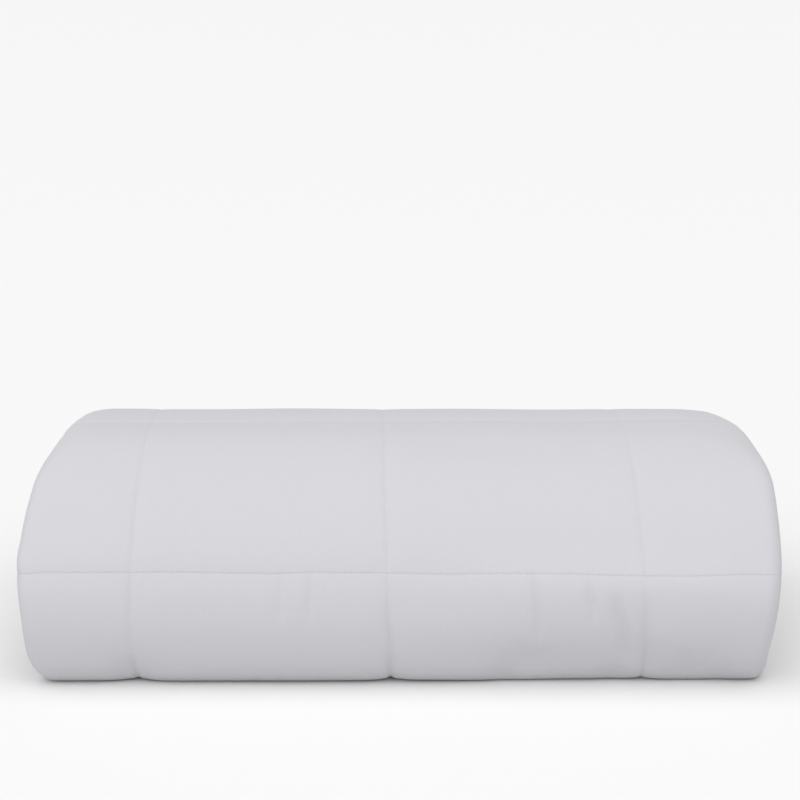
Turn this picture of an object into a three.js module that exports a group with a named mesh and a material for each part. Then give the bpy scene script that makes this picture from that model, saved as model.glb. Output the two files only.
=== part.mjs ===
// A quilted bedspread, folded to lie on a shelf or a bed.
// It is folded in three across its width, which makes a strip of three layers. The strip is folded
// back and forth in three along its length and then once more in half, so that its last fold is the
// round front and the first stretch of the strip wraps the top, the front and the underside.
// Millimetres: +X runs along the bundle, +Y to its back, +Z up. The origin is the middle of the
// rectangle that the bundle covers on the floor.
import * as THREE from "three";

// The cloth
const SQUARE = 300; // side of a quilted square
const CLOTH = 11; // thickness in the middle of a square: two faces and the wadding between them
const HEM = 6; // thickness at a hem, where the edge is turned in and sewn flat
const HEM_WIDTH = 28;
const SEAM_HALF = 20; // how far from its stitches a quilting seam draws the cloth down
const STITCHED = 0.35; // share of that, next to the stitches, where the slope is steep
const SEAM_DEPTH = 4.5;
const THINNEST = 3; // thickness that is left where a seam and a hollow meet
const SIDE_RELIEF = 0.2; // share of its depth that a seam keeps where it goes round a side fold
const FIRST_SEAM = SQUARE / 2; // from the hem at either end of the cloth to its first cross seam

// The strip: centre panel on the outside, the left flap under it, the right flap under both
const LAYER_GAP = 2;
const LAYER = CLOTH + LAYER_GAP;
const STRIP = 3 * CLOTH + 2 * LAYER_GAP;
const STRIP_HALF_WIDTH = 450;
const MIDDLE_SEAM_X = -15.5; // the middle seam lies a little left of the middle of the strip
const FLAP_INSET = 20; // the free hem of each flap stops this far inside the fold that it reaches

// The bundle
const HEIGHT = 256;
const DEPTH = 442;
const PASSES = 6; // stretches of the strip that lie over each other
const STRIP_PITCH = (HEIGHT - STRIP) / (PASSES - 1);
const FRONT_Y = -DEPTH / 2;
const BACK_Y = DEPTH / 2;
const TURN_RADIUS = (STRIP_PITCH + STRIP) / 2; // outside of the two folds at the back
const TOP_END_SETBACK = 13; // the hem on top ends this far short of the back
const LAST_END_SETBACK = 14; // and so does the other hem, inside the bundle
const UPPER_TURN_SETBACK = 9;

// The round front, as two quarter ovals that meet at its foremost line. The upper one reaches back
// over the top and the lower one under the bundle. Every stretch inside follows the same outline,
// shrunk towards the heart of the bundle.
const NOSE = { height: 70, topReach: 228, topPower: 1.8, floorReach: 34, floorPower: 2 };
const HEART = { y: FRONT_Y + 150, z: HEIGHT / 2 };

// How far the bundle reaches to each side of its middle seam, from the floor up
const ENDS = [
  { height: 0, left: 409, right: 451 },
  { height: 12, left: 419, right: 453 },
  { height: 40, left: 428, right: 452 },
  { height: 90, left: 432, right: 458 },
  { height: 150, left: 440, right: 466 },
  { height: 200, left: 435, right: 468 },
  { height: 232, left: 430, right: 470 },
  { height: 246, left: 419, right: 461 },
  { height: 256, left: 409, right: 441 },
];
const END_SOFT_FROM = 300; // the cloth is free to move only outside the last seam
const DROOP_FROM = 390; // from here out the stack grows lower towards its ends
const DROOP_SHARE = 0.022;
const FALL_FROM = 50; // behind this line the stack grows lower towards its back
const FALL_SHARE = 0.1;

// Soft hollows in the face that shows, placed on the cloth: u from the middle seam and v from the
// hem on top, with the half width and half length of each and how deep it goes
const HOLLOWS = [
  { u: 150, v: 560, halfWidth: 80, halfLength: 40, depth: 6 },
  { u: 345, v: 556, halfWidth: 90, halfLength: 44, depth: 6 },
  { u: 270, v: 512, halfWidth: 26, halfLength: 50, depth: 4 },
  { u: 190, v: 420, halfWidth: 120, halfLength: 26, depth: 2 },
  { u: -270, v: 540, halfWidth: 60, halfLength: 60, depth: 3 },
  { u: -390, v: 400, halfWidth: 40, halfLength: 40, depth: 3 },
  { u: 130, v: 250, halfWidth: 90, halfLength: 34, depth: 3 },
  { u: -150, v: 330, halfWidth: 110, halfLength: 60, depth: 2 },
];

// How finely the shape is cut
const FINE_COLUMN = 40; // between points across the panel that shows
const SEAM_ROOM = 8; // the least from a seam's own rows to the next row
const LINE_STEPS = 90; // steps of each stretch of the path before rows are taken from it
const FOOTING_STEPS = 9; // how many of those the seams take to run out under the bundle
const FOLD_STEPS = 4; // facets round a fold at the side

// The path of the strip from the hem on top to the hem inside, stretch by stretch: its steps, the
// rows of points that are taken from it, which columns of points its outer face has, and how much
// of the quilting's depth it shows from its start (t = 0) to its end (t = 1)
const FULL = () => 1;
const NONE = () => 0;
const RUNNING_OUT = (t) => 1 - t;
const SWELLING = (t) => Math.sin(Math.PI * t);
const STRETCHES = [
  { name: "top", steps: LINE_STEPS, rows: 6, columns: "front", relief: FULL },
  { name: "upper front", steps: LINE_STEPS, rows: 13, columns: "front", relief: FULL },
  { name: "lower front", steps: LINE_STEPS, rows: 7, columns: "front", relief: FULL },
  { name: "footing", steps: FOOTING_STEPS, rows: 2, columns: "front", relief: RUNNING_OUT },
  { name: "underside", steps: LINE_STEPS - FOOTING_STEPS, rows: 3, columns: "hidden", relief: NONE },
  { name: "lower back fold", steps: LINE_STEPS, rows: 9, columns: "back", relief: SWELLING },
  { name: "second floor run", steps: LINE_STEPS, rows: 3, columns: "hidden", relief: NONE },
  { name: "second front", steps: 2 * LINE_STEPS, rows: 10, columns: "hidden", relief: NONE },
  { name: "second top run", steps: LINE_STEPS, rows: 3, columns: "hidden", relief: NONE },
  { name: "upper back fold", steps: LINE_STEPS, rows: 9, columns: "back", relief: SWELLING },
  { name: "third top run", steps: LINE_STEPS, rows: 3, columns: "hidden", relief: NONE },
  { name: "third front", steps: 2 * LINE_STEPS, rows: 8, columns: "hidden", relief: NONE },
  { name: "last run", steps: LINE_STEPS, rows: 3, columns: "hidden", relief: NONE },
];

const CENTRE_LEVEL = LAYER; // middle of the centre panel, above the middle of the strip
const LEFT_FOLD = { radius: LAYER / 2, x: -(STRIP_HALF_WIDTH - LAYER / 2 - CLOTH / 2) };
const RIGHT_FOLD = { radius: LAYER, x: STRIP_HALF_WIDTH - LAYER - CLOTH / 2 };

const clamp01 = (t) => Math.min(1, Math.max(0, t));
const mix = (a, b, t) => a + (b - a) * t;
const smooth = (t) => clamp01(t) ** 2 * (3 - 2 * clamp01(t));

// Distances across the cloth are counted from the middle seam, positive to the right.
const leftFoldStart = LEFT_FOLD.x - MIDDLE_SEAM_X;
const rightFoldStart = RIGHT_FOLD.x - MIDDLE_SEAM_X;
const leftFoldEnd = leftFoldStart - Math.PI * LEFT_FOLD.radius;
const rightFoldEnd = rightFoldStart + Math.PI * RIGHT_FOLD.radius;
const flapLength = 2 * STRIP_HALF_WIDTH - LAYER - CLOTH - FLAP_INSET;
const leftHem = leftFoldEnd - flapLength;
const rightHem = rightFoldEnd + flapLength;

// The middle of the cloth in a cut across the strip: x, level above the strip's middle, and the
// direction in which its outer face looks.
function acrossStrip(u) {
  const fold = u < leftFoldStart ? LEFT_FOLD : RIGHT_FOLD;
  const side = u < leftFoldStart ? -1 : 1;
  const past = u < leftFoldStart ? leftFoldStart - u : u - rightFoldStart;
  if (past <= 0) return { x: u + MIDDLE_SEAM_X, level: CENTRE_LEVEL, outX: 0, outLevel: 1 };
  const angle = Math.min(Math.PI, past / fold.radius);
  const flat = past - angle * fold.radius;
  return {
    x: fold.x + side * (fold.radius * Math.sin(angle) - flat),
    level: CENTRE_LEVEL - fold.radius * (1 - Math.cos(angle)),
    outX: side * Math.sin(angle),
    outLevel: Math.cos(angle),
  };
}

// The outline of the bundle from the side, shrunk by an inset, as points from the back of the top
// to the back of the underside. Each stretch of it is cut into LINE_STEPS.
function outline(inset, topEnd, lowEnd) {
  const share = 1 - inset / HEART.z;
  const points = [];
  const add = (y, z) => {
    points.push([HEART.y + (y - HEART.y) * share, HEART.z + (z - HEART.z) * share]);
  };
  const steps = [...Array(LINE_STEPS + 1).keys()].map((i) => i / LINE_STEPS);
  for (const t of steps.slice(1)) {
    const rise = Math.cos((t * Math.PI) / 2) ** (2 / NOSE.topPower);
    const reach = 1 - Math.sin((t * Math.PI) / 2) ** (2 / NOSE.topPower);
    add(FRONT_Y + NOSE.topReach * reach, NOSE.height + (HEIGHT - NOSE.height) * rise);
  }
  for (const t of steps.slice(1)) {
    const fall = Math.sin((t * Math.PI) / 2) ** (2 / NOSE.floorPower);
    const reach = 1 - Math.cos((t * Math.PI) / 2) ** (2 / NOSE.floorPower);
    add(FRONT_Y + NOSE.floorReach * reach, NOSE.height * (1 - fall));
  }
  const top = [HEART.y + (FRONT_Y + NOSE.topReach - HEART.y) * share, HEIGHT - inset];
  const low = points.at(-1);
  const topRun = steps.map((t) => [mix(topEnd, top[0], t), top[1]]);
  const lowRun = steps.slice(1).map((t) => [mix(low[0], lowEnd, t), low[1]]);
  return [...topRun, ...points, ...lowRun];
}

// A half circle at the back, from one level up or down to the next stretch.
function backTurn(y, z, radius, upwards) {
  return [...Array(LINE_STEPS - 1).keys()].map((i) => {
    const angle = ((i + 1) / LINE_STEPS) * Math.PI - Math.PI / 2;
    const rise = upwards ? Math.sin(angle) : -Math.sin(angle);
    return [y + radius * Math.cos(angle), z + radius * rise];
  });
}

// The path of the strip, as the line of its outer face (the centre panel) and of its inner one.
function stripPath() {
  const lowerTurnY = BACK_Y - TURN_RADIUS;
  const upperTurnY = lowerTurnY - UPPER_TURN_SETBACK;
  const lowerTurnZ = TURN_RADIUS;
  const upperTurnZ = HEIGHT - STRIP_PITCH - TURN_RADIUS;
  const topEnd = BACK_Y - TOP_END_SETBACK;
  const lastEnd = BACK_Y - LAST_END_SETBACK;
  const wrap = (order, start, end) => [
    outline(order * STRIP_PITCH, start, end),
    outline(order * STRIP_PITCH + STRIP, start, end),
  ];
  const small = TURN_RADIUS - STRIP;
  const [firstOut, firstIn] = wrap(0, topEnd, lowerTurnY);
  const [secondOut, secondIn] = wrap(1, upperTurnY, lowerTurnY);
  const [thirdOut, thirdIn] = wrap(2, upperTurnY, lastEnd);
  const outer = [
    ...firstOut,
    ...backTurn(lowerTurnY, lowerTurnZ, TURN_RADIUS, true),
    ...secondIn.reverse(),
    ...backTurn(upperTurnY, upperTurnZ, small, false),
    ...thirdOut,
  ];
  const inner = [
    ...firstIn,
    ...backTurn(lowerTurnY, lowerTurnZ, small, true),
    ...secondOut.reverse(),
    ...backTurn(upperTurnY, upperTurnZ, TURN_RADIUS, false),
    ...thirdIn,
  ];
  return { outer, inner };
}

const path = stripPath();
const distance = (a, b) => Math.hypot(a[0] - b[0], a[1] - b[1]);
const runningLength = (line) => {
  const sums = [0];
  line.slice(1).forEach((point, i) => sums.push(sums[i] + distance(point, line[i])));
  return sums;
};
const outerLength = runningLength(path.outer);
const innerLength = runningLength(path.inner);
const midLength = outerLength.map((s, i) => (s + innerLength[i]) / 2);

// The value of a line at a place between its points.
function interpolate(places, values, place) {
  const next = Math.max(1, places.findIndex((p, i) => p >= place || i === places.length - 1));
  const t = clamp01((place - places[next - 1]) / (places[next] - places[next - 1]));
  return mix(values[next - 1], values[next], t);
}

// The two face lines at a distance along the middle of the strip.
function pathAt(along) {
  const point = (line) => [0, 1].map((axis) => interpolate(midLength, line.map((p) => p[axis]), along));
  const v = interpolate(midLength, outerLength, along);
  return { outer: point(path.outer), inner: point(path.inner), v };
}
const alongOf = (v) => interpolate(outerLength, midLength, v);

// How far the bundle reaches to a side at a height, eased from row to row of the table.
function reachAt(side, height) {
  const next = Math.max(1, ENDS.findIndex((row, i) => row.height >= height || i === ENDS.length - 1));
  const [low, high] = [ENDS[next - 1], ENDS[next]];
  return mix(low[side], high[side], smooth((height - low.height) / (high.height - low.height)));
}

// The way the soft bundle departs from its even shape. It only slides points about a little, so
// layers that lie clear of each other stay clear.
function settle(x, y, z) {
  const fromSeam = x - MIDDLE_SEAM_X;
  const side = fromSeam < 0 ? "left" : "right";
  const even = STRIP_HALF_WIDTH + (fromSeam < 0 ? MIDDLE_SEAM_X : -MIDDLE_SEAM_X);
  const out = Math.abs(fromSeam);
  const pull = smooth((out - END_SOFT_FROM) / (even - END_SOFT_FROM));
  const reach = out + (reachAt(side, z) - even) * pull;
  const droop = DROOP_SHARE * clamp01((out - DROOP_FROM) / (even - DROOP_FROM)) ** 2;
  const fall = FALL_SHARE * clamp01((y - FALL_FROM) / (BACK_Y - FALL_FROM)) ** 2;
  return [
    MIDDLE_SEAM_X + Math.sign(fromSeam) * reach,
    HEART.y + (y - HEART.y) * (1 - droop / 2),
    z * (1 - droop) * (1 - fall),
  ];
}

// How far the face that shows lies in, for the quilting and the hollows, at a place on the cloth.
function relief(u, v) {
  const offSeam = (at, first) => {
    const away = at - first;
    return Math.abs(away - SQUARE * Math.round(away / SQUARE));
  };
  const near = Math.min(offSeam(u, 0), offSeam(v, FIRST_SEAM));
  const seam = SEAM_DEPTH * clamp01(1 - near / SEAM_HALF) ** 2;
  const hollow = HOLLOWS.reduce((sum, h) => {
    const far = ((u - h.u) / h.halfWidth) ** 2 + ((v - h.v) / h.halfLength) ** 2;
    return sum + h.depth * Math.exp(-far);
  }, 0);
  const aside = smooth((Math.abs(u - MIDDLE_SEAM_X) - DROOP_FROM) / (STRIP_HALF_WIDTH - DROOP_FROM));
  return (seam + hollow) * mix(1, SIDE_RELIEF, aside);
}

// A point of the cloth: u across, a row of the path along, and which face.
function clothPoint(u, row, face) {
  const across = acrossStrip(u);
  const fromHem = Math.min(u - leftHem, rightHem - u, row.v, outerLength.at(-1) - row.v);
  const full = clamp01(fromHem / HEM_WIDTH);
  const half = mix(HEM, CLOTH, full) / 2;
  const dip = face > 0 ? relief(u, row.v) * full * row.relief : 0;
  const reach = Math.max(THINNEST - half, half - dip);
  const x = across.x + face * reach * across.outX;
  const level = across.level + face * reach * across.outLevel;
  const depth = (STRIP / 2 - level) / STRIP;
  return settle(x, mix(row.outer[0], row.inner[0], depth), mix(row.outer[1], row.inner[1], depth));
}

// Places across the cloth at which a face has points.
const seamSteps = [-1, -STITCHED, 0, STITCHED, 1].map((share) => share * SEAM_HALF);
const plainSeamSteps = [-1, 0, 1].map((share) => share * SEAM_HALF);
const foldSteps = [...Array(FOLD_STEPS + 1).keys()].map((i) => i / FOLD_STEPS);
const hemSteps = [leftHem, leftHem + HEM_WIDTH, rightHem - HEM_WIDTH, rightHem];
const sideFolds = foldSteps.flatMap((t) => [
  mix(leftFoldStart, leftFoldEnd, t),
  mix(rightFoldStart, rightFoldEnd, t),
]);

// Every layer has points where the ends bend down, at the same x, so that all bend alike.
const bends = [DROOP_FROM, (DROOP_FROM + STRIP_HALF_WIDTH + MIDDLE_SEAM_X) / 2];
const layerBends = [-bends[1], -bends[0], bends[0], bends[1]].flatMap((out) => {
  const x = out + MIDDLE_SEAM_X;
  return [out, leftFoldEnd - (x - LEFT_FOLD.x), rightFoldEnd + (RIGHT_FOLD.x - x)];
});
const insideHems = layerBends.filter((u) => u > leftHem + HEM_WIDTH && u < rightHem - HEM_WIDTH);
const byValue = (a, b) => a - b;

const coarseColumns = [...hemSteps, ...sideFolds, ...insideHems].sort(byValue);

function fineColumns() {
  const seams = [-1, 0, 1].map((k) => k * SQUARE);
  const nearSeams = seams.flatMap((seam) => seamSteps.map((step) => seam + step));
  const count = Math.floor((rightFoldStart - leftFoldStart) / FINE_COLUMN);
  const even = [...Array(count).keys()].map((i) => leftFoldStart + (i + 0.5) * FINE_COLUMN);
  const clear = even.filter((u) => seams.every((seam) => Math.abs(u - seam) > SEAM_HALF + SEAM_ROOM));
  const onFlaps = insideHems.filter((u) => u < leftFoldStart || u > rightFoldStart);
  return [...hemSteps, ...sideFolds, ...nearSeams, ...clear, ...onFlaps].sort(byValue);
}

// At the back the centre panel shows in the lower fold and the right flap in the upper one.
function backColumns() {
  const seams = [-1, 0, 1, 2, 3, 4].map((k) => k * SQUARE);
  const nearSeams = seams.flatMap((seam) => plainSeamSteps.map((step) => seam + step));
  return [...coarseColumns, ...nearSeams].sort(byValue);
}
const outerColumns = { front: fineColumns(), back: backColumns(), hidden: coarseColumns };

// Where each stretch starts and ends along the middle of the strip
const spans = STRETCHES.map((part, k) => {
  const before = STRETCHES.slice(0, k).reduce((sum, earlier) => sum + earlier.steps, 0);
  return { ...part, start: midLength[before], end: midLength[before + part.steps] };
});

function rowAt(along) {
  const span = spans.findLast((part) => part.start <= along);
  const t = (along - span.start) / (span.end - span.start);
  return { ...pathAt(along), columns: span.columns, relief: span.relief(t) };
}

function clothRows() {
  const even = spans.flatMap((part) => {
    return [...Array(part.rows).keys()].map((i) => mix(part.start, part.end, i / part.rows));
  });
  const total = midLength.at(-1);
  const hems = [alongOf(HEM_WIDTH), total - HEM_WIDTH, total];
  const near = (seam, steps) => steps.map((away) => alongOf(seam + away));
  const seams = [
    ...near(FIRST_SEAM, seamSteps),
    ...near(FIRST_SEAM + SQUARE, seamSteps),
    ...near(FIRST_SEAM + 3 * SQUARE, plainSeamSteps),
  ];
  const clear = even.filter((along) => seams.every((seam) => Math.abs(seam - along) > SEAM_ROOM));
  return [...clear, ...hems, ...seams].sort(byValue).map(rowAt);
}

// Joins two chains of points with triangles, always stepping on in the chain that lags behind.
// Round a row, t grows along the outer face, over the hem by EDGE_STEP and back along the inner face.
const EDGE_STEP = 1;
function zip(first, second, triangles) {
  let [i, j] = [0, 0];
  while (i < first.length - 1 || j < second.length - 1) {
    const firstNext = first[i + 1]?.t ?? Infinity;
    const secondNext = second[j + 1]?.t ?? Infinity;
    if (firstNext <= secondNext) {
      triangles.push(first[i].id, second[j].id, first[i + 1].id);
      i += 1;
    } else {
      triangles.push(first[i].id, second[j].id, second[j + 1].id);
      j += 1;
    }
  }
}

function bedspreadGeometry() {
  const positions = [];
  const triangles = [];
  const addPoint = (u, row, face) => {
    positions.push(...clothPoint(u, row, face));
    const onward = face > 0 ? u : 2 * rightHem + EDGE_STEP - u;
    return { id: positions.length / 3 - 1, u, t: onward };
  };
  const loops = clothRows().map((row) => {
    const outerChain = outerColumns[row.columns].map((u) => addPoint(u, row, 1));
    const innerChain = [...coarseColumns].reverse().map((u) => addPoint(u, row, -1));
    const closing = { id: outerChain[0].id, t: innerChain.at(-1).t + EDGE_STEP };
    return { outerChain, innerChain, ring: [...outerChain, ...innerChain, closing] };
  });
  for (let k = 1; k < loops.length; k += 1) zip(loops[k - 1].ring, loops[k].ring, triangles);
  const cap = (loop, flip) => {
    const faces = [];
    const back = [...loop.innerChain].reverse().map((p) => ({ id: p.id, t: p.u }));
    zip(loop.outerChain, back, faces);
    triangles.push(...(flip ? faces.reverse() : faces));
  };
  cap(loops[0], true);
  cap(loops.at(-1), false);
  const geometry = new THREE.BufferGeometry();
  geometry.setAttribute("position", new THREE.Float32BufferAttribute(positions, 3));
  geometry.setIndex(triangles);
  geometry.computeVertexNormals();
  return geometry;
}

const quilt = new THREE.MeshStandardMaterial({ color: 0xd7d6db, roughness: 0.85, metalness: 0 });
const bedspread = new THREE.Mesh(bedspreadGeometry(), quilt);
bedspread.name = "bedspread";

const bundle = new THREE.Group();
bundle.add(bedspread);

export default bundle;
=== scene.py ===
# %% [markdown]
# # A folded quilted bedspread
#
# The real thing is one large cloth: two smooth faces with thin wadding between them, sewn
# through in a grid of squares. It lies folded, the way a shop or a linen cupboard keeps it: in
# three across its width, which makes a strip of three layers, then in three along the strip, and
# once more in half. The last fold is the round front.
#
# A cloth simulation could fold a sheet too, but it needs many steps, and the layers of a tight
# stack push through each other. Here the folds are known, so the whole cloth is one worked-out
# surface: a place on the flat cloth goes in, and its place in the bundle comes out.

import bpy
import numpy as np
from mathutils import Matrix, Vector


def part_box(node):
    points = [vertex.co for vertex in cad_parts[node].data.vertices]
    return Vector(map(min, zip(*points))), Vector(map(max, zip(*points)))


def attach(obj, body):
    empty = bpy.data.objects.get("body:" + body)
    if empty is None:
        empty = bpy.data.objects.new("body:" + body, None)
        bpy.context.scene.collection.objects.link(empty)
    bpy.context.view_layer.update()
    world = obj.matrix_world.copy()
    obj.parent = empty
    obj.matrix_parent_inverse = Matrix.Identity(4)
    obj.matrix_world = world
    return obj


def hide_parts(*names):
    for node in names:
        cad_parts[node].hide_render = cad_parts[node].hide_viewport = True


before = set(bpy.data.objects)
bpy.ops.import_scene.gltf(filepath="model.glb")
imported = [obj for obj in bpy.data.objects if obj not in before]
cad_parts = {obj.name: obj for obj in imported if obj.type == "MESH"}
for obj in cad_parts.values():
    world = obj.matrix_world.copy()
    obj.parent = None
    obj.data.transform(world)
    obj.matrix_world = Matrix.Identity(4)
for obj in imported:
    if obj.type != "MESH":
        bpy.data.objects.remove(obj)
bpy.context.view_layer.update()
lowest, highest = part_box("bedspread")
print("solid bedspread, metres:", [round(side, 3) for side in highest - lowest])

# %% [markdown]
# ## Sizes
#
# A quilter measures in squares, so everything starts from the side of one square. The wadding
# gives the cloth its thickness, and the hem is pressed thinner. The height and the depth of the
# bundle come from the frame. A soft bundle is not even: it grows lower towards its ends and its
# back, and its ends bulge in the middle of their height.

# %% Sizes of the cloth and of the bundle
MM = 0.001
SQUARE = 300 * MM
CLOTH = 11 * MM  # thickness in the middle of a square
HEM = 6 * MM
HEM_WIDTH = 28 * MM
HEM_ROUND = 2.5 * MM  # how far in from the edge the hem rounds off
THINNEST = 3 * MM
FIRST_SEAM = SQUARE / 2  # from a hem at either end of the cloth to the first cross seam

LAYER_GAP = 2 * MM
LAYER = CLOTH + LAYER_GAP
STRIP = 3 * CLOTH + 2 * LAYER_GAP
STRIP_HALF_WIDTH = 450 * MM
MIDDLE_SEAM_X = -15.5 * MM
FLAP_INSET = 20 * MM

HEIGHT = highest.z
FRONT_Y = lowest.y
BACK_Y = -FRONT_Y
PASSES = 6  # stretches of the strip that lie over each other
STRIP_PITCH = (HEIGHT - STRIP) / (PASSES - 1)
TURN_RADIUS = (STRIP_PITCH + STRIP) / 2
TOP_END_SETBACK = 13 * MM
LAST_END_SETBACK = 14 * MM
UPPER_TURN_SETBACK = 9 * MM

NOSE_HEIGHT = 70 * MM  # of the foremost line of the round front
TOP_REACH, TOP_POWER = 228 * MM, 1.8
FLOOR_REACH, FLOOR_POWER = 34 * MM, 2.0
HEART = np.array([FRONT_Y + 150 * MM, HEIGHT / 2])  # y and z

# How far the bundle reaches from its middle seam, from the floor up. The first and the last row lie
# outside it and only steer the curve.
ENDS = np.array([
    # height, left, right
    (-12, 399, 449),
    (0, 409, 451),
    (12, 419, 453),
    (40, 428, 452),
    (90, 432, 458),
    (150, 440, 466),
    (200, 435, 468),
    (232, 430, 470),
    (246, 419, 461),
    (256, 409, 441),
    (268, 399, 421),
]) * MM
SOFTLY = np.linspace(-12, 12, 9) * MM  # the height over which the rows are averaged
END_SOFT_FROM = 300 * MM  # the cloth is free to move only outside the last seam
DROOP_FROM, DROOP_SHARE = 390 * MM, 0.022  # from here out the stack grows lower
FALL_FROM, FALL_SHARE = 50 * MM, 0.1  # and behind this line too
RUN_ON = 1.1  # both go on a little past the edge, so that nothing kinks there

# On the right the front swells out just under its seam and draws in at the floor
LEAN_FROM, LEAN_FULL = 40 * MM, 220 * MM  # from the middle seam to the right
DRAWN_IN, DRAWN_HALF = 6.5 * MM, 42 * MM
SWOLLEN, SWOLLEN_AT, SWOLLEN_HALF = 6 * MM, 118 * MM, 40 * MM
LEAN_DEPTH = 150 * MM  # how far behind the front it is felt


def mix(a, b, share):
    """From a to b by a share of the way."""
    return a + (b - a) * share


def ease(share):
    """From 0 to 1, level at both ends: 3 t squared less 2 t cubed."""
    share = np.clip(share, 0, 1)
    return share * share * (3 - 2 * share)


pass_gap = STRIP_PITCH - STRIP
print("strip:", round(STRIP / MM), "mm thick,", round(pass_gap / MM, 1), "mm from pass to pass")

# %% [markdown]
# ## The cut across the strip
#
# Cut the strip across and look along it: the centre panel is on top, the left flap is folded
# under it, and the right flap goes under both. Each fold is a half circle. The wider right fold
# has room for the left flap inside it. Places across the cloth are counted from its middle seam,
# which is where a folder would take hold of it.

# %% From a place across the cloth to a place in the cut
LEFT_RADIUS, RIGHT_RADIUS = LAYER / 2, LAYER
LEFT_FOLD_X = -(STRIP_HALF_WIDTH - LEFT_RADIUS - CLOTH / 2)
RIGHT_FOLD_X = STRIP_HALF_WIDTH - RIGHT_RADIUS - CLOTH / 2
left_fold_start = LEFT_FOLD_X - MIDDLE_SEAM_X
right_fold_start = RIGHT_FOLD_X - MIDDLE_SEAM_X
left_fold_end = left_fold_start - np.pi * LEFT_RADIUS
right_fold_end = right_fold_start + np.pi * RIGHT_RADIUS
flap = 2 * STRIP_HALF_WIDTH - LAYER - CLOTH - FLAP_INSET
left_hem = left_fold_end - flap
right_hem = right_fold_end + flap


def across_strip(u):
    """The middle of the cloth in the cut: x, level, and the way its outer face looks.

    Past the start of a fold the cloth runs round a half circle, x = fold + r sin(a) and
    level = LAYER - r (1 - cos(a)), where the angle a is the length past the start over r.
    After half a turn it runs straight back.
    """
    on_left = u < left_fold_start
    side = np.where(on_left, -1, 1)
    radius = np.where(on_left, LEFT_RADIUS, RIGHT_RADIUS)
    past = np.where(on_left, left_fold_start - u, u - right_fold_start)
    angle = np.clip(past / radius, 0, np.pi)
    beyond = past - angle * radius  # negative on the centre panel, which runs out to the fold
    fold_x = np.where(on_left, LEFT_FOLD_X, RIGHT_FOLD_X)
    onward = np.where(past < 0, beyond, -beyond)
    x = fold_x + side * (radius * np.sin(angle) + onward)
    return x, LAYER - radius * (1 - np.cos(angle)), side * np.sin(angle), np.cos(angle)


print("width of the flat cloth:", round(right_hem - left_hem, 3), "m")

# %% [markdown]
# ## The path of the strip
#
# Seen from the side, the strip goes round the bundle three times, each time inside the last, and
# turns back twice at the rear. The round front is two quarter ovals that meet at its foremost
# line. A plain ellipse looks too thin at the shoulder, so the powers are a little off 2. The
# path is kept as two lines of points, one for each face of the strip.

# %% From a place along the strip to a place seen from the side
STEPS = 160  # of each stretch


def wrap(inset, top_end, low_end):
    """One way round the bundle, shrunk by an inset towards its heart: y and z from top to floor.

    Upper quarter: y = reach (1 - sin(a) to the power 2/p), z = rise cos(a) to the power 2/p.
    The lower one has sine and cosine swapped. Straight runs join them to the rear.
    """
    quarter = np.linspace(0, np.pi / 2, STEPS + 1)
    sine, cosine = np.sin(quarter), np.abs(np.cos(quarter))
    upper = np.column_stack([
        FRONT_Y + TOP_REACH * (1 - sine ** (2 / TOP_POWER)),
        mix(NOSE_HEIGHT, HEIGHT, cosine ** (2 / TOP_POWER)),
    ])
    lower = np.column_stack([
        FRONT_Y + FLOOR_REACH * (1 - cosine ** (2 / FLOOR_POWER)),
        NOSE_HEIGHT * (1 - sine ** (2 / FLOOR_POWER)),
    ])
    bend = mix(HEART, np.vstack([upper, lower[1:]]), 1 - inset / HEART[1])
    top = np.linspace((top_end, bend[0, 1]), bend[0], STEPS + 1)
    low = np.linspace(bend[-1], (low_end, bend[-1, 1]), STEPS + 1)
    return np.vstack([top[:-1], bend, low[1:]])


def rear_turn(y, z, radius, upwards):
    """A half circle at the rear: y = centre + r cos(a), z = centre + r sin(a) or less it."""
    angle = np.linspace(-np.pi / 2, np.pi / 2, STEPS + 1)[1:-1]
    rise = np.sin(angle) if upwards else -np.sin(angle)
    return np.column_stack([y + radius * np.cos(angle), z + radius * rise])


def strip_face(outer):
    """The whole path of one face of the strip, as points y and z."""
    inset = 0 if outer else STRIP
    back_inset = STRIP - inset
    wide, narrow = TURN_RADIUS, TURN_RADIUS - STRIP
    low_y = BACK_Y - TURN_RADIUS
    high_y = low_y - UPPER_TURN_SETBACK
    high_z = HEIGHT - STRIP_PITCH - TURN_RADIUS
    return np.vstack([
        wrap(inset, BACK_Y - TOP_END_SETBACK, low_y),
        rear_turn(low_y, TURN_RADIUS, wide if outer else narrow, True),
        wrap(STRIP_PITCH + back_inset, high_y, low_y)[::-1],
        rear_turn(high_y, high_z, narrow if outer else wide, False),
        wrap(2 * STRIP_PITCH + inset, high_y, BACK_Y - LAST_END_SETBACK),
    ])


def running_length(points):
    """Distance along a line of points, from its first."""
    return np.r_[0, np.cumsum(np.linalg.norm(np.diff(points, axis=0), axis=1))]


outer_face, inner_face = strip_face(True), strip_face(False)
outer_run, inner_run = running_length(outer_face), running_length(inner_face)
walk = (outer_run + inner_run) / 2  # along the middle of the strip, from the hem on top
print("length of the flat cloth:", round(outer_run[-1], 3), "m on the face that shows")


def side_view(place, depth):
    """y and z at a place along the strip: straight from its outer face (0) to its inner one (1)."""
    faces = (outer_face, inner_face)
    outer, inner = [[np.interp(place, walk, face[:, axis]) for axis in (0, 1)] for face in faces]
    return mix(outer[0], inner[0], depth), mix(outer[1], inner[1], depth)


# %% [markdown]
# ## How the bundle settles
#
# Soft things don't stay square. Here the even stack is pulled into the outline of the real one:
# its ends bulge, the stack droops towards them, and the back lies a little lower than the front.
# All of it moves neighbouring layers alike, so none of them meet.

# %% Settle the even stack


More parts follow.
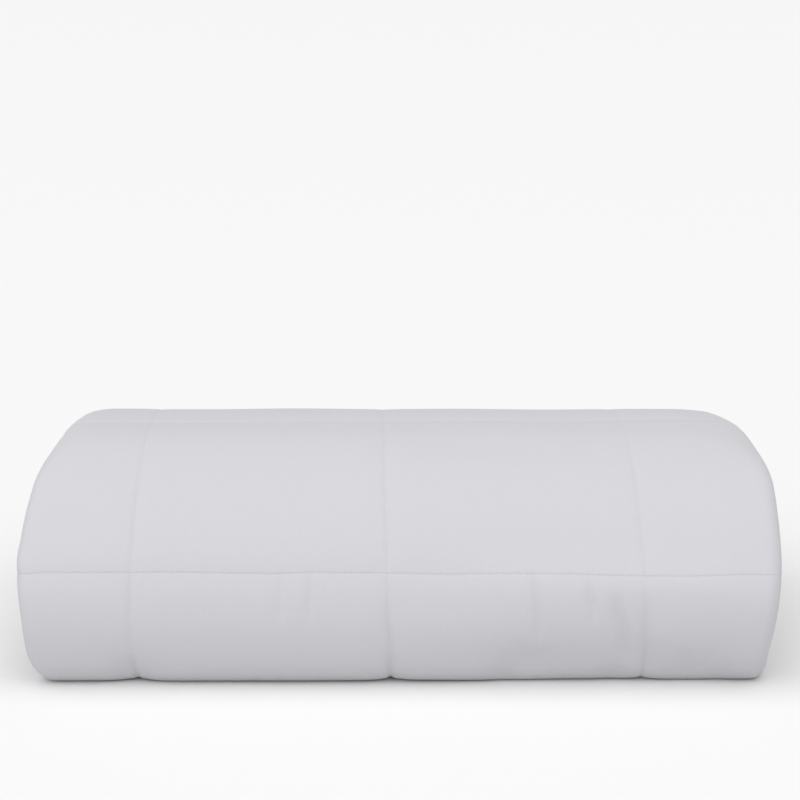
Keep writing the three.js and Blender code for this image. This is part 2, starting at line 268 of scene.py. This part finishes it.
def settle(x, y, z):
    """The soft shape: x reaches to the outline of the ends, and z shrinks by squares of a share.

    The droop draws y in by half as much.
    """
    from_seam = x - MIDDLE_SEAM_X
    out = np.abs(from_seam)
    left = from_seam < 0
    even = STRIP_HALF_WIDTH + np.where(left, MIDDLE_SEAM_X, -MIDDLE_SEAM_X)
    reach = np.where(left, soft_interp(z, ENDS[:, 1]), soft_interp(z, ENDS[:, 2]))
    free = ease((out - END_SOFT_FROM) / (even - END_SOFT_FROM))
    droop = DROOP_SHARE * np.clip((out - DROOP_FROM) / (even - DROOP_FROM), 0, RUN_ON) ** 2
    fall = FALL_SHARE * np.clip((y - FALL_FROM) / (BACK_Y - FALL_FROM), 0, RUN_ON) ** 2
    x = MIDDLE_SEAM_X + np.sign(from_seam) * (out + (reach - even) * free)
    y = HEART[0] + (y - HEART[0]) * (1 - droop / 2) + lean(from_seam, y, z)
    return x, y, z * (1 - droop) * (1 - fall)


def lean(from_seam, y, z):
    """How far the right front lies back: a bell of the height at the floor less one higher up."""
    aside = ease((from_seam - LEAN_FROM) / (LEAN_FULL - LEAN_FROM))
    near_front = 1 - ease((y - FRONT_Y) / LEAN_DEPTH)
    back = DRAWN_IN * np.exp(-((z / DRAWN_HALF) ** 2))
    out = SWOLLEN * np.exp(-(((z - SWOLLEN_AT) / SWOLLEN_HALF) ** 2))
    return (back - out) * aside * near_front


def soft_interp(z, reaches):
    """Straight from row to row of the table of ends, averaged over a little height: no corners."""
    return sum(np.interp(z + step, ENDS[:, 0], reaches) for step in SOFTLY) / len(SOFTLY)


back_top = settle(0.0, BACK_Y, HEIGHT)[2]
print("the back lies", round((HEIGHT - back_top) / MM), "mm lower than the top")

# %% [markdown]
# No one lays a quilt down with its seams dead straight. Each seam that shows wanders a few
# millimetres, so the cloth is slid about by two small tables before it is folded. A third one
# says how hard the thread pulls: a long seam all but vanishes in places.

# %% Slide the cloth, as its seams wander
ASIDE = np.array([
    # along from the hem on top, then how far aside the left, middle and right seam lie
    (80, -8, -9, -4),
    (150, -6, -7.5, -3.2),
    (215, -4, -6, -1.8),
    (300, -2.5, -4.9, -1.3),
    (400, -1.5, -1.5, 0),
    (465, -2, -0.3, 0.5),
    (510, -1.4, 1, 2),
    (565, -0.3, 3.5, 4.2),
    (600, 2.7, 2.8, 1.7),
    (680, 0, 0, 0),
]) * MM
ALONG = np.array([
    # across from the middle seam, then how far along the far and the front seam lie
    (-440, 2, -2),
    (-340, 2, -2.3),
    (-240, 4, -2.5),
    (-135, 1, -1.3),
    (-90, 0, -2.5),
    (0, -2, -1.5),
    (72, -4, -0.6),
    (143, -3, -2.5),
    (214, -2, -2.5),
    (261, -4, -1),
    (355, -8, -0.4),
    (437, -8, -2.5),
]) * MM
PULLS = np.array([
    # along in millimetres, then the pull of the left, middle and right seam, as shares
    (226, 0.4, 0.4, 0.3),
    (300, 0.6, 0.9, 1.0),
    (352, 1.0, 1.0, 0.7),
    (396, 1.0, 0.9, 0.9),
    (430, 0.7, 0.8, 0.25),
    (471, 1.0, 0.8, 0.4),
    (509, 0.8, 1.3, 0.6),
    (547, 0.4, 1.2, 0.6),
    (575, 1.0, 1.3, 0.8),
    (680, 1.0, 1.0, 1.0),
])
ASIDE_POSTS = [-420 * MM, -SQUARE, 0, SQUARE, 420 * MM]  # nothing slides at the side folds
ALONG_POSTS = [0, FIRST_SEAM, FIRST_SEAM + SQUARE, FIRST_SEAM + 1.6 * SQUARE]  # or at the hem


def between(place, posts, post):
    """A tent: 1 at one post, 0 at its neighbours, straight between."""
    return np.interp(place, posts, np.eye(len(posts))[post])


def slide(u, v):
    """How far the cloth is slid across and along, from the two tables, one tent for each seam."""

    def tented(at, table, other, posts):
        aside = [np.interp(at, table[:, 0], column) for column in table[:, 1:].T]
        return sum(far * between(other, posts, k) for k, far in enumerate(aside, 1))

    return tented(v, ASIDE, u, ASIDE_POSTS), tented(u, ALONG, v, ALONG_POSTS)


def pull(u, v):
    """The share of a long seam's depth, for the nearest of the three seams that show."""
    nearest = np.clip(np.round(u / SQUARE), -1, 1)
    return sum(np.interp(v, PULLS[:, 0] * MM, PULLS[:, k]) * (nearest == k - 2) for k in (1, 2, 3))


most = max(np.abs(table[:, 1:]).max() for table in (ASIDE, ALONG))
print("a seam wanders by up to", round(most / MM), "mm")

# %% [markdown]
# ## Quilting, creases and swells
#
# What makes cloth look like cloth is in its face. A quilting seam pulls both faces together: a
# soft trough on either side, a narrow channel at the stitches, and small puckers where the thread
# gathers the cloth. Then come the creases of this very bundle, each placed one by one, and long
# low swells that no one would notice, but would miss.

# %% The seams
TROUGH_DEPTH, TROUGH_HALF = 1.3 * MM, 14 * MM
LONG_CHANNEL, LONG_HALF = 1.3 * MM, 3.3 * MM
CROSS_CHANNEL, CROSS_HALF = 0.4 * MM, 2.5 * MM
DEEPEST_SEAM = TROUGH_DEPTH + LONG_CHANNEL
PUCKER_DEPTH, PUCKER_HALF = 0.5 * MM, 12 * MM
HEM_SEAM, HEM_SEAM_DEPTH, HEM_SEAM_HALF = 24 * MM, 1.0 * MM, 2.5 * MM
SIDE_RELIEF = 0.25  # share of the relief that is left round the side folds
UNEVEN_WAVES, PUCKER_WAVES = (310 * MM, 170 * MM), (13 * MM, 19 * MM, 31 * MM)
UNEVEN_MEAN, UNEVEN_SWING = 0.55, 0.45  # the puckers come and go along a seam
CROSSING = 1.02  # a little over 1, so that neither seam is lost where two cross
LONG_SEED, CROSS_SEED = 11, 23


def off_seam(place, first):
    """Distance to the nearest of the seams, which lie a square apart from the first."""
    return np.abs(place - first - SQUARE * np.round((place - first) / SQUARE))


def ripple(along, across, lengths, seed):
    """Uneven waves, about -1 to 1: the mean of sines of the lengths, each turned and shifted."""
    turn = np.random.default_rng(seed)
    total = 0
    for length in lengths:
        angle, shift = turn.uniform(-0.5, 0.5), turn.uniform(0, 2 * np.pi)
        onward = along * np.cos(angle) + across * np.sin(angle)
        total = total + np.sin(2 * np.pi * onward / length + shift)
    return total / len(lengths)


def seam_dip(away, along, channel_depth, half, seed):
    """How far one family of seams lies in: a bell for the trough, a flatter one for the channel.

    The puckers are waves times t exp(1 - 2 t), where t is the distance over their half width.
    """
    trough = TROUGH_DEPTH * np.exp(-((away / TROUGH_HALF) ** 2))
    channel = channel_depth * np.exp(-((away / half) ** 4))
    uneven = UNEVEN_MEAN + UNEVEN_SWING * ripple(along, away * 0, UNEVEN_WAVES, seed)
    waves = ripple(along, away, PUCKER_WAVES, seed + 1)
    t = away / PUCKER_HALF
    return trough + channel + PUCKER_DEPTH * uneven * waves * t * np.exp(1 - t * 2)


def quilting(u, v):
    """Both families of seams: 1 less the product of 1 less each, so a crossing is no deeper."""
    long_seam = seam_dip(off_seam(u, 0), v, LONG_CHANNEL, LONG_HALF, LONG_SEED) * pull(u, v)
    cross_seam = seam_dip(off_seam(v, FIRST_SEAM), u, CROSS_CHANNEL, CROSS_HALF, CROSS_SEED)
    left_by_long = 1 - long_seam / DEEPEST_SEAM / CROSSING
    return DEEPEST_SEAM * (1 - left_by_long * (1 - cross_seam / DEEPEST_SEAM / CROSSING))


print("a long seam is up to", round(DEEPEST_SEAM / MM, 1), "mm deep")

# %% [markdown]
# The creases are a short table. Each row is a line on the flat cloth, from one place to another,
# counted in millimetres from the middle seam and from the hem on top. A positive depth is a
# trough and a negative one a ridge. The line fades at both ends, as a crease in soft cloth does.

# %% The creases, swells and hollows
CREASES = np.array([
    # from across and along, to across and along, half width, depth
    (171, 452, 175, 524, 4, 2.8),
    (233, 452, 240, 502, 4, 2.8),
    (264, 474, 279, 556, 7, 4.4),
    (300, 480, 302, 580, 10, 2.0),
    (-125, 460, -126, 505, 5, 1.5),
    (-91, 456, -90, 505, 4, 1.9),
    (92, 285, 155, 212, 14, 1.1),
    (254, 225, 250, 300, 11, 0.6),
    (400, 220, 402, 298, 7, 0.9),
    (-415, 308, -404, 335, 6, 1.2),
    (-430, 392, -420, 436, 8, 1.3),
    (-322, 292, -308, 328, 8, 0.9),
]) * MM
HOLLOWS = np.array([
    # across, along, half width, half length, depth
    (210, 454, 130, 20, -2.4),
    (380, 454, 90, 20, -2.4),
    (160, 556, 100, 26, 3),
    (350, 556, 110, 26, 3.4),
    (134, 578, 16, 16, 2.2),
    (164, 560, 26, 20, 2.6),
    (265, 580, 16, 14, 1.8),
    (356, 570, 24, 18, 2.8),
    (402, 580, 20, 16, 2.0),
    (270, 512, 26, 50, 1.5),
    (190, 424, 120, 22, 1.2),
    (-306, 572, 26, 26, 3.2),
    (-390, 400, 40, 40, 3),
    (130, 250, 90, 34, 2),
    (-150, 330, 110, 60, 2),
]) * MM
FADE_POWER, FADE_RATE = 4, 1.2  # how a crease ends
SWELL_DEPTH = 0.8 * MM
SWELL_WAVES, CROSS_SWELL_WAVES = (430 * MM, 260 * MM, 190 * MM), (350 * MM, 210 * MM)
SWELL_SEED = 5


def creases(u, v):
    """Each crease is a bell of the distance to its line, faded towards the line's two ends."""
    total = np.zeros(np.broadcast(u, v).shape)
    for u0, v0, u1, v1, half, depth in CREASES:
        length = np.hypot(u1 - u0, v1 - v0)
        share = ((u - u0) * (u1 - u0) + (v - v0) * (v1 - v0)) / length**2
        side = ((u - u0) * (v1 - v0) - (v - v0) * (u1 - u0)) / length
        fade = np.exp(-((2 * share - 1) ** FADE_POWER) * FADE_RATE)
        total += depth * np.exp(-((side / half) ** 2)) * fade
    return total


def hollows(u, v):
    """A bell of two half sizes for each soft hollow."""
    total = np.zeros(np.broadcast(u, v).shape)
    for u0, v0, half_width, half_length, depth in HOLLOWS:
        total += depth * np.exp(-(((u - u0) / half_width) ** 2) - ((v - v0) / half_length) ** 2)
    return total


def relief(u, v):
    """How far the face lies in, at a place on the cloth. It is shallow round the side folds."""
    swell = SWELL_DEPTH * ripple(u, v, SWELL_WAVES, SWELL_SEED)
    swell = swell + SWELL_DEPTH * ripple(v, u, CROSS_SWELL_WAVES, SWELL_SEED + 1)
    aside = ease((np.abs(u - MIDDLE_SEAM_X) - DROOP_FROM) / (STRIP_HALF_WIDTH - DROOP_FROM))
    return (quilting(u, v) + creases(u, v) + hollows(u, v) + swell) * mix(1, SIDE_RELIEF, aside)


print(len(CREASES), "creases and", len(HOLLOWS), "hollows and ridges")

# %% [markdown]
# ## One function for the whole cloth
#
# Now the pieces come together. `cloth_point` takes a place across the cloth, a place along the
# strip and a side of the cloth, and gives a point in the bundle. Only what shows gets its relief:
# layers that lie inside the stack are pressed flat by the others.

# %% From a place on the cloth to a point in the bundle
stretch_ends = walk[::STEPS]
# share of the relief at the ends of each stretch, from the hem on top to the hem inside
TOP_AND_FRONT, UNDERSIDE, LOWER_TURN, UPPER_TURN = 3, 4, 5, 10
FOOTING = 40 * MM  # where the seams run out under the bundle
ROUNDEST = 0.98  # short of 1, so that the two faces don't touch at the edge


def shown(place):
    """Share of the relief: full on top and front, none inside, a hump of sine on the rear turns."""
    front = 1 - ease((place - stretch_ends[TOP_AND_FRONT]) / FOOTING)

    def turn(last):
        share = (place - stretch_ends[last - 1]) / (stretch_ends[last] - stretch_ends[last - 1])
        return np.sin(np.pi * np.clip(share, 0, 1))

    return front + turn(LOWER_TURN) + turn(UPPER_TURN)


def cloth_point(u, place, face):
    """x, y and z of a point on the outer (1) or inner (-1) face.

    The cloth slid aside, its middle in the cut across the strip, half a thickness out, carried
    along the path by its depth in the strip, and settled.
    """
    u, place = np.broadcast_arrays(u, place)
    v = np.interp(place, walk, outer_run)
    from_hem = np.minimum(np.minimum(u - left_hem, right_hem - u), np.minimum(v, outer_run[-1] - v))
    half = mix(HEM, CLOTH, ease(from_hem / HEM_WIDTH)) / 2
    rounding = np.clip(1 - from_hem / HEM_ROUND, 0, ROUNDEST)
    if face > 0:
        hem_seam = HEM_SEAM_DEPTH * np.exp(-(((from_hem - HEM_SEAM) / HEM_SEAM_HALF) ** 2))
        dip = relief(u, v) * ease(from_hem / HEM_WIDTH) + hem_seam
        half = np.maximum(THINNEST - half, half - dip * shown(place))
    half = half * np.sqrt(1 - rounding**2)
    slid_across, slid_along = slide(u, v)
    x, level, out_x, out_level = across_strip(u + slid_across)
    x = x + face * half * out_x
    level = level + face * half * out_level
    y, z = side_view(place + slid_along, (STRIP / 2 - level) / STRIP)
    return np.stack(settle(x, y, z), axis=-1)


seam_point = cloth_point(0.0, np.interp(FIRST_SEAM + SQUARE, outer_run, walk), 1)
print("the front seam crosses the middle one at", (seam_point / MM).round().astype(int), "mm")

# %% [markdown]
# ## Where the grid lines go
#
# The surface is a grid, and a grid has only so many lines to spend. They crowd together at the
# seams and folds that show, and spread out inside the stack, where no one looks. A step size is
# given for each place, and the lines are laid so that each crosses as many steps as the next.

# %% Grid lines that crowd where detail is
FINE, SEAM_STEP, SEAM_GROWTH = 6.6 * MM, 1.4 * MM, 0.16
HIDDEN, HIDDEN_BEND, LOW_BEND = 36 * MM, 14 * MM, 4.6 * MM
TURN_STEP, FOLD_STEP = 5.5 * MM, 3.4 * MM
FLAP_GROWTH, FLAP_SEAM_GROWTH, HEM_STEP, HEM_GROWTH = 0.15, 0.5, 2 * MM, 0.3
CREASE_SHARE, CREASE_GROWTH = 0.5, 0.35  # the first is of a crease's half width
SAMPLES = 20001  # where the density is worked out


def graded(knots, step_at):
    """Places from knot to knot, an even number of cells in all.

    The step is turned into a density, 1 over the step, and summed along the line. Equal parts of
    that sum are one cell each.
    """
    fine = np.linspace(knots[0], knots[-1], SAMPLES)
    density = 1 / step_at(fine)
    crossed = np.r_[0, np.cumsum((density[1:] + density[:-1]) / 2 * np.diff(fine))]
    at_knots = np.interp(knots, fine, crossed)
    cells = np.maximum(1, np.round(np.diff(at_knots))).astype(int)
    cells[-1] += cells.sum() % 2
    ends = zip(at_knots, at_knots[1:], cells)
    parts = [np.linspace(a, b, n, endpoint=False) for a, b, n in ends]
    return np.interp(np.r_[np.concatenate(parts), at_knots[-1]], crossed, fine)


def near_seam(away, plain_step):
    """Small steps at a seam, growing with the distance to it up to the plain step."""
    return np.minimum(plain_step, SEAM_STEP + SEAM_GROWTH * away)


def step_across(u):
    """Fine on the centre panel and round the side folds, coarse in the middle of the flaps."""
    panel = near_seam(off_seam(u, 0), FINE)
    for start, _, end, _, half, _ in CREASES:
        away = np.maximum(0, np.maximum(min(start, end) - u, u - max(start, end)))
        panel = np.minimum(panel, CREASE_SHARE * half + CREASE_GROWTH * away)
    past = np.maximum(left_fold_start - u, u - right_fold_start)
    fold_length = np.where(u < 0, np.pi * LEFT_RADIUS, np.pi * RIGHT_RADIUS)
    on_flap = past - fold_length
    end = np.minimum(on_flap, flap - on_flap)
    flap_step = np.minimum(HIDDEN, FOLD_STEP + FLAP_GROWTH * end)
    seams_show = np.minimum(flap_step, FOLD_STEP + FLAP_SEAM_GROWTH * off_seam(u, 0))
    flap_step = np.where(u > 0, seams_show, flap_step)
    return np.where(past < -HEM_WIDTH, panel, np.where(on_flap < 0, FOLD_STEP, flap_step))


STRETCH_STEPS = np.array([
    FINE, FINE * 0.9, FINE * 0.8, HIDDEN,  # top, shoulder, lower front and underside
    TURN_STEP,  # the lower turn at the rear
    HIDDEN, LOW_BEND, HIDDEN_BEND, HIDDEN,  # the second way round, from the bottom up
    TURN_STEP * 0.75,  # the upper turn
    HIDDEN, HIDDEN_BEND, LOW_BEND * 0.7, HIDDEN,  # the third way round
])


def step_along(place):
    """The step of the stretch, finer at the seams that show and at both hems."""
    stretch = np.clip(np.searchsorted(stretch_ends, place) - 1, 0, len(STRETCH_STEPS) - 1)
    step = STRETCH_STEPS[stretch]
    v = np.interp(place, walk, outer_run)
    seam_shows = (stretch < UNDERSIDE) | (stretch == LOWER_TURN - 1)
    step = np.where(seam_shows, near_seam(off_seam(v, FIRST_SEAM), step), step)
    end = np.minimum(place, walk[-1] - place)
    return np.minimum(step, HEM_STEP + HEM_GROWTH * end)


hem_lines = np.array([0, 0.1, 0.45, 1]) * HEM_ROUND
seams_across = SQUARE * np.arange(-4, 5)
knots_across = np.sort(np.r_[
    left_hem + hem_lines, right_hem - hem_lines, seams_across[1:-1],
    left_fold_start, left_fold_end, right_fold_start, right_fold_end,
])
seams_along = np.interp(FIRST_SEAM + SQUARE * np.arange(4), outer_run, walk)
knots_along = np.unique(np.r_[hem_lines, walk[-1] - hem_lines, seams_along, stretch_ends[1:-1]])
columns, rows = graded(knots_across, step_across), graded(knots_along, step_along)
print("grid of the outer face:", len(columns), "by", len(rows))

# %% [markdown]
# ## The mesh
#
# The outer face uses every grid line, the inner face every second one. Along the hem a strip of
# five-sided faces joins two outer cells to one inner cell, so that the cloth is one closed
# surface with its faces pointing out.

# %% Build the cloth as one closed mesh


def cells(ids):
    """The four corners of each cell of a grid of point numbers, counter-clockwise."""
    corners = [ids[:-1, :-1], ids[:-1, 1:], ids[1:, 1:], ids[1:, :-1]]
    return np.stack(corners, axis=-1).reshape(-1, 4)


def rim(ids):
    """The point numbers round the edge of a grid, once round."""
    return np.concatenate([ids[0, :-1], ids[:-1, -1], ids[-1, :0:-1], ids[:0:-1, 0]])


def mesh_piece(name, points, faces):
    """A new object at the origin with the points and faces in its mesh, shaded smooth."""
    mesh = bpy.data.meshes.new(name)
    mesh.from_pydata(points, [], faces)
    mesh.polygons.foreach_set("use_smooth", np.ones(len(mesh.polygons), bool))
    mesh.update()
    piece = bpy.data.objects.new(name, mesh)
    bpy.context.scene.collection.objects.link(piece)
    return piece


coarse_columns, coarse_rows = columns[::2], rows[::2]
outer_points = cloth_point(columns[None, :], rows[:, None], 1)
inner_points = cloth_point(coarse_columns[None, :], coarse_rows[:, None], -1)
outer_ids = np.arange(outer_points[..., 0].size).reshape(outer_points.shape[:2])
inner_ids = outer_ids.size + np.arange(inner_points[..., 0].size).reshape(inner_points.shape[:2])
outer_rim, inner_rim = rim(outer_ids), rim(inner_ids)
hem_faces = np.column_stack([
    outer_rim[0::2], inner_rim,
    np.roll(inner_rim, -1), np.roll(outer_rim, -2)[0::2], outer_rim[1::2],
])
cloth_faces = [cells(outer_ids)[:, ::-1], cells(inner_ids), hem_faces]
bedspread = mesh_piece(
    "quilted_bedspread",
    np.vstack([outer_points.reshape(-1, 3), inner_points.reshape(-1, 3)]).tolist(),
    [face for group in cloth_faces for face in group.tolist()],
)
triangles = sum(len(p.vertices) - 2 for p in bedspread.data.polygons)
print("bedspread:", triangles, "triangles")

# %% [markdown]
# ## Its own maps
#
# A weave must follow the cloth round every fold, so the mesh carries two maps in metres of flat
# cloth. One counts along each layer's own length and is for the weave. The other counts from the
# seams and is for the stitches.

# %% Lay the maps on the cloth


def flat_places(u, place, face):
    """Across and along the flat cloth, in metres, by the layer's own length and from the seams."""
    u, place = np.broadcast_arrays(u, place)
    level = across_strip(u)[1] + face * CLOTH / 2
    depth = (STRIP / 2 - level) / STRIP
    own_length = mix(np.interp(place, walk, outer_run), np.interp(place, walk, inner_run), depth)
    from_seams = np.interp(place, walk, outer_run) - FIRST_SEAM
    return [np.stack([u, along], -1).reshape(-1, 2) for along in (own_length, from_seams)]


outer_maps = flat_places(columns[None, :], rows[:, None], 1)
inner_maps = flat_places(coarse_columns[None, :], coarse_rows[:, None], -1)
corner_points = np.empty(len(bedspread.data.loops), int)
bedspread.data.loops.foreach_get("vertex_index", corner_points)
for name, outer_map, inner_map in zip(("weave", "seams"), outer_maps, inner_maps):
    layer = bedspread.data.uv_layers.new(name=name)
    layer.data.foreach_set("uv", np.vstack([outer_map, inner_map])[corner_points].ravel())
print("maps:", [layer.name for layer in bedspread.data.uv_layers])

# %% [markdown]
# ## The cloth's finish
#
# The face is a tight, smooth, brushed cloth in a pale lavender grey. It has no shine of its own,
# only the soft sheen that fine fibres give at a slant. Its grain is a fine plain weave with a
# few thicker threads each way, which shows as faint streaks. The stitches are small dents, three
# millimetres apart, in every seam.

# %% A small helper for node trees


class Tree:
    """Adds nodes to a material, and joins what they are given."""

    def __init__(self, material):
        material.use_nodes = True
        self.nodes, self.links = material.node_tree.nodes, material.node_tree.links

    def add(self, kind, inputs=None, **settings):
        """A node with its settings, its inputs set to numbers or joined to other nodes' outputs."""
        node = self.nodes.new(kind)
        for name, value in settings.items():
            setattr(node, name, value)
        for name, value in (inputs or {}).items():
            if isinstance(value, bpy.types.NodeSocket):
                self.links.new(value, node.inputs[name])
            else:
                node.inputs[name].default_value = value
        return node

    def math(self, operation, *values):
        """One sum on one, two or three values."""
        return self.add("ShaderNodeMath", dict(enumerate(values)), operation=operation).outputs[0]


# %% Weave, streaks and stitches
CLOTH_COLOUR = (0.552, 0.545, 0.573, 1)
SHADE_COLOUR = (0.525, 0.517, 0.546, 1)
THREAD_PITCH = 0.55 * MM
STITCH_PITCH, STITCH_HALF = 3.2 * MM, 1.1 * MM
LONG_SHARE = 0.53  # the long seams show their stitches less than the cross seams
WEAVE_STRENGTH, WEAVE_HEIGHT = 0.25, 0.05 * MM
SLUB_STRENGTH, SLUB_HEIGHT = 0.5, 0.25 * MM
STITCH_HEIGHT = 0.6 * MM
SLUB_SCALE, SLUB_DRAWN, SLUB_NOISE = 900, 0.06, {"Detail": 3.0, "Roughness": 0.6}
SHADE_GAIN, SHADE_MEAN = 0.9, 0.35  # how much the streaks shade the cloth
GLOSS = {"Roughness": 0.82, "Specular IOR Level": 0.3, "Sheen Weight": 0.18, "Sheen Roughness": 0.5}

finish = bpy.data.materials.new("brushed_lavender_cloth")
tree = Tree(finish)
weave_map = tree.add("ShaderNodeUVMap", uv_map="weave").outputs[0]
seam_map = tree.add("ShaderNodeUVMap", uv_map="seams").outputs[0]
weave_at = tree.add("ShaderNodeSeparateXYZ", {0: weave_map})
seam_at = tree.add("ShaderNodeSeparateXYZ", {0: seam_map})


def threads(place):
    """One set of threads: a sine along the place, one wave to a thread pitch."""
    return tree.math("SINE", tree.math("MULTIPLY", place, 2 * np.pi / THREAD_PITCH))


def streaks(stretch):
    """Noise drawn out along one set of threads."""
    drawn = tree.add("ShaderNodeMapping", {"Vector": weave_map, "Scale": stretch})
    noise = {"Vector": drawn.outputs[0], "Scale": SLUB_SCALE, **SLUB_NOISE}
    return tree.add("ShaderNodeTexNoise", noise).outputs["Fac"]


def stitches(across, along):
    """Dents in one family of seams: a bell of the distance to the seam, times a wave along it."""
    nearest = tree.math("PINGPONG", tree.math("ABSOLUTE", across), SQUARE / 2)
    away = tree.math("DIVIDE", nearest, STITCH_HALF)
    bell = tree.math("EXPONENT", tree.math("MULTIPLY", tree.math("MULTIPLY", away, away), -1.0))
    wave = tree.math("COSINE", tree.math("MULTIPLY", along, 2 * np.pi / STITCH_PITCH))
    return tree.math("MULTIPLY", bell, tree.math("MULTIPLY_ADD", wave, 0.5, 0.5))


weave = tree.math("MULTIPLY", threads(weave_at.outputs[0]), threads(weave_at.outputs[1]))
slubs = tree.math("ADD", streaks((1, SLUB_DRAWN, 1)), streaks((SLUB_DRAWN, 1, 1)))
long_seams = stitches(seam_at.outputs[0], seam_at.outputs[1])
cross_seams = stitches(seam_at.outputs[1], seam_at.outputs[0])
dents = tree.math("MULTIPLY_ADD", long_seams, LONG_SHARE, cross_seams)

shade = tree.math("MULTIPLY_ADD", tree.math("SUBTRACT", slubs, 1.0), SHADE_GAIN, SHADE_MEAN)
two_colours = {0: shade, 6: CLOTH_COLOUR, 7: SHADE_COLOUR}
colour = tree.add("ShaderNodeMix", two_colours, data_type="RGBA", clamp_factor=True)


def bump(height, strength, distance, under=None, **settings):
    """A bump of a height, on top of the one under it."""
    inputs = {"Height": height, "Strength": strength, "Distance": distance}
    if under is not None:
        inputs["Normal"] = under
    return tree.add("ShaderNodeBump", inputs, **settings).outputs[0]


weave_bump = bump(weave, WEAVE_STRENGTH, WEAVE_HEIGHT)
slub_bump = bump(slubs, SLUB_STRENGTH, SLUB_HEIGHT, weave_bump)
stitch_bump = bump(dents, 1.0, STITCH_HEIGHT, slub_bump, invert=True)
shader = tree.nodes["Principled BSDF"]
tree.links.new(colour.outputs[2], shader.inputs["Base Color"])
tree.links.new(stitch_bump, shader.inputs["Normal"])
for socket, amount in GLOSS.items():
    shader.inputs[socket].default_value = amount
bedspread.data.materials.append(finish)
print("finish:", finish.name, "with", len(tree.nodes), "nodes")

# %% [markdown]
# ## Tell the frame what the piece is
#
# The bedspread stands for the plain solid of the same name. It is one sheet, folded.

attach(bedspread, "root")
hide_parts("bedspread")
print("declared:", bedspread.name, "on the body root")

# %% [markdown]
# ## The set
#
# A photograph for a shop: a pale floor with no end to it, an even white surround, and one large
# soft light above and in front. The camera stands well over two metres off, higher than the
# bundle, and looks down at 14 degrees.

# %% Floor, light and camera
FLOOR_HALF = 40  # metres, so far that its edge is never seen
FLOOR_COLOUR, FLOOR_ROUGHNESS = (0.8, 0.8, 0.8, 1), 0.9
SURROUND_COLOUR, SURROUND_STRENGTH = (1, 1, 1, 1), 0.376
LIGHT_STRENGTH, LIGHT_SPREAD = 2.76, np.radians(100)
LIGHT_TURN = (np.radians(21.5), np.radians(-7), 0)
CAMERA_LENS, CAMERA_PLACE = 84.5, (-1.5 * MM, -2285 * MM, 868 * MM)
LOOKING_DOWN = np.radians(14)

signs = ((-1, -1), (1, -1), (1, 1), (-1, 1))
floor_corners = [(x * FLOOR_HALF, y * FLOOR_HALF, 0) for x, y in signs]
floor = mesh_piece("floor", floor_corners, [(0, 1, 2, 3)])
pale = bpy.data.materials.new("pale_floor")
floor_shader = Tree(pale).nodes["Principled BSDF"]
floor_shader.inputs["Base Color"].default_value = FLOOR_COLOUR
floor_shader.inputs["Roughness"].default_value = FLOOR_ROUGHNESS
floor.data.materials.append(pale)

scene = bpy.context.scene
scene.view_settings.view_transform = "Standard"
surround = bpy.data.worlds.new("white_surround")
surround.use_nodes = True
background = surround.node_tree.nodes["Background"]
background.inputs["Color"].default_value = SURROUND_COLOUR
background.inputs["Strength"].default_value = SURROUND_STRENGTH
scene.world = surround

soft_light = bpy.data.lights.new("soft_light", "SUN")
soft_light.energy = LIGHT_STRENGTH
soft_light.angle = LIGHT_SPREAD
lamp = bpy.data.objects.new("soft_light", soft_light)
lamp.rotation_euler = LIGHT_TURN
scene.collection.objects.link(lamp)

camera_data = bpy.data.cameras.new("camera")
camera_data.lens = CAMERA_LENS
camera = bpy.data.objects.new("camera", camera_data)
camera.location = CAMERA_PLACE
camera.rotation_euler = (np.pi / 2 - LOOKING_DOWN, 0, 0)
scene.collection.objects.link(camera)
scene.camera = camera
print("camera:", round(float(np.hypot(*CAMERA_PLACE[1:])), 2), "m from the middle of the bundle")
